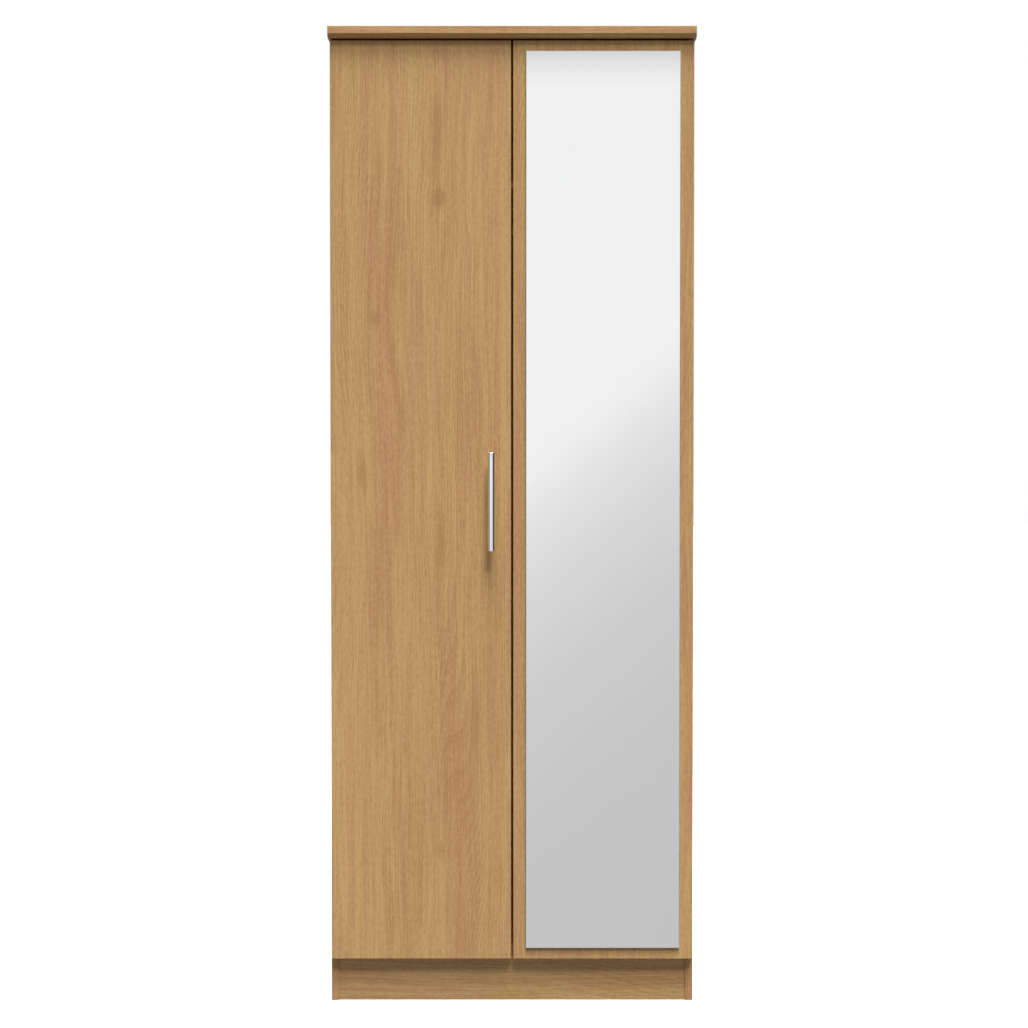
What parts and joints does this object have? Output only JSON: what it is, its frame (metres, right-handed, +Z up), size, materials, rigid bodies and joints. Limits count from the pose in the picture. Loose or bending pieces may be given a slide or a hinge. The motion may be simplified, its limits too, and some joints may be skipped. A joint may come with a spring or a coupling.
{
  "type": "two-door wardrobe with mirror",
  "caption": "Tall wardrobe with hinged doors: one plain with a bar handle, one faced with a full-length mirror; a hat shelf and a hanging rail inside, on a recessed plinth.",
  "frame": {"origin": "on the floor under the middle of the whole object, handle included", "axes": "+Z up, doors face -Y, +X to the right when facing the doors"},
  "size_m": [0.74, 0.555, 1.97],
  "materials": {
    "oak_foil": "light oak-effect foil, satin",
    "hardboard": "smooth brown hardboard",
    "beech": "fluted beech, unfinished",
    "mirror": "silvered float glass",
    "handle_steel": "satin nickel plated",
    "rail_steel": "bright chrome plated",
    "hinge_steel": "nickel plated pressings",
    "fastener_steel": "zinc plated",
    "zinc": "die-cast zinc",
    "nylon": "moulded nylon",
    "foam_tape": "foam mirror tape",
    "clear_rubber": "clear self-adhesive bumper"
  },
  "bodies": {
    "carcass": {"top_panel": "oak_foil", "left_side_panel": "oak_foil", "right_side_panel": "oak_foil", "base_panel": "oak_foil", "hat_shelf": "oak_foil", "plinth_front": "oak_foil", "plinth_rear": "oak_foil", "plinth_corner_blocks": "nylon", "corner_block_screws": "fastener_steel", "back_panel": "hardboard", "back_panel_nails": "fastener_steel", "wall_fixing_rail": "oak_foil", "cam_discs": "zinc", "cam_bolts": "fastener_steel", "dowels": "beech", "hanging_rail": "rail_steel", "left_rail_socket": "rail_steel", "right_rail_socket": "rail_steel", "rail_socket_screws": "fastener_steel", "left_mounting_plates": "hinge_steel", "right_mounting_plates": "hinge_steel", "left_plate_screws": "fastener_steel", "right_plate_screws": "fastener_steel", "left_hinge_arms": "hinge_steel", "right_hinge_arms": "hinge_steel", "left_arm_pins": "hinge_steel", "right_arm_pins": "hinge_steel", "left_arm_screws": "fastener_steel", "right_arm_screws": "fastener_steel"},
    "left_outer_links": {"left_outer_links": "hinge_steel"},
    "left_inner_links": {"left_inner_links": "hinge_steel"},
    "right_outer_links": {"right_outer_links": "hinge_steel"},
    "right_inner_links": {"right_inner_links": "hinge_steel"},
    "left_door": {"left_door_panel": "oak_foil", "left_hinge_cups": "hinge_steel", "left_cup_pins": "hinge_steel", "left_cup_screws": "fastener_steel", "left_door_bumpers": "clear_rubber", "handle_bar": "handle_steel", "handle_posts": "handle_steel", "handle_screws": "fastener_steel"},
    "right_door": {"right_door_panel": "oak_foil", "right_hinge_cups": "hinge_steel", "right_cup_pins": "hinge_steel", "right_cup_screws": "fastener_steel", "right_door_bumpers": "clear_rubber", "mirror_glass": "mirror", "mirror_tape": "foam_tape"}
  },
  "joints": [
    {"name": "left_door_hinge", "type": "hinge", "parent": "left_outer_links", "child": "left_door", "pos_m": [-0.3585, -0.227, 1], "axis": [0, 0, -1], "range_deg": [0, 114.09]},
    {"name": "left_outer_link_pivot", "type": "hinge", "parent": "carcass", "child": "left_outer_links", "pos_m": [-0.334, -0.20995, 1], "axis": [0, 0, -1], "range_deg": [-19.3, 0]},
    {"name": "left_inner_link_pivot", "type": "hinge", "parent": "carcass", "child": "left_inner_links", "pos_m": [-0.334, -0.222, 1], "axis": [0, 0, -1], "range_deg": [-7.3, 0]},
    {"name": "right_door_hinge", "type": "hinge", "parent": "right_outer_links", "child": "right_door", "pos_m": [0.3585, -0.227, 1], "axis": [0, 0, 1], "range_deg": [0, 114.09]},
    {"name": "right_outer_link_pivot", "type": "hinge", "parent": "carcass", "child": "right_outer_links", "pos_m": [0.334, -0.20995, 1], "axis": [0, 0, 1], "range_deg": [-19.3, 0]},
    {"name": "right_inner_link_pivot", "type": "hinge", "parent": "carcass", "child": "right_inner_links", "pos_m": [0.334, -0.222, 1], "axis": [0, 0, 1], "range_deg": [-7.3, 0]}
  ],
  "couplings": [
    {"joint": "left_outer_link_pivot", "follows": "left_door_hinge", "ratio": -0.16736},
    {"joint": "left_inner_link_pivot", "follows": "left_door_hinge", "ratio": -0.062448},
    {"joint": "right_outer_link_pivot", "follows": "right_door_hinge", "ratio": -0.16736},
    {"joint": "right_inner_link_pivot", "follows": "right_door_hinge", "ratio": -0.062448}
  ]
}
